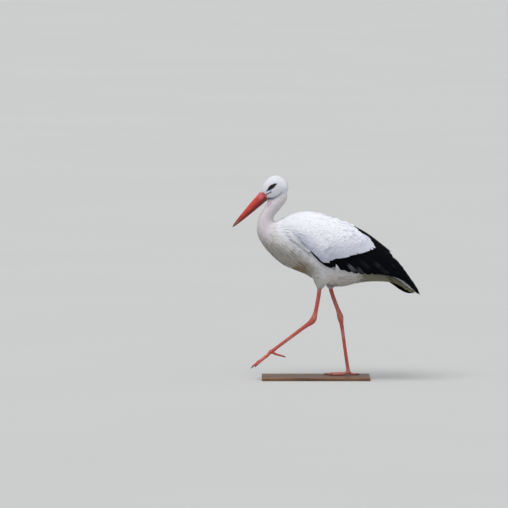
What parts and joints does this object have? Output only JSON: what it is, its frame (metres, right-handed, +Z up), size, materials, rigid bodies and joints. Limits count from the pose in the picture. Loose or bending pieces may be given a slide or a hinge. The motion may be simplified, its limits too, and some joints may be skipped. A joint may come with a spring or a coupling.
{
  "type": "white stork",
  "caption": "Life-size white stork in mid stride, one foot planted on a plain flat base and the other lifted forward, bill pointing down.",
  "frame": {"origin": "middle of the footprint, on the underside of the base", "axes": "+Z up, the bird faces -X, its left side is at -Y"},
  "size_m": [0.6991, 0.1978, 0.7564],
  "materials": {
    "plumage_white": "soft matte white contour feathers",
    "plumage_cream": "soft matte cream feathers, loose on the breast",
    "plumage_black": "black flight feathers with a faint blue sheen, white coverts above",
    "bill_red": "smooth horn, slightly glossy",
    "leg_red": "scaly bare skin, satin",
    "eye_dark": "wet dark brown eye",
    "claw_brown": "dull horn",
    "stand_wood": "oiled dark wood, eased edges"
  },
  "bodies": {
    "root": {"head": "plumage_white", "neck_upper": "plumage_white", "neck_lower": "plumage_white", "trunk": "plumage_cream", "bill_upper": "bill_red", "bill_lower": "bill_red", "eye_left": "eye_dark", "eye_right": "eye_dark", "wing_left": "plumage_black", "wing_right": "plumage_black", "tail": "plumage_white", "thigh_left": "plumage_cream", "shank_left": "leg_red", "tarsus_left": "leg_red", "foot_left": "leg_red", "claw_left_inner": "claw_brown", "claw_left_middle": "claw_brown", "claw_left_outer": "claw_brown", "claw_left_hind": "claw_brown", "thigh_right": "plumage_cream", "shank_right": "leg_red", "tarsus_right": "leg_red", "foot_right": "leg_red", "claw_right_inner": "claw_brown", "claw_right_middle": "claw_brown", "claw_right_outer": "claw_brown", "claw_right_hind": "claw_brown", "stand_base": "stand_wood"}
  },
  "joints": []
}
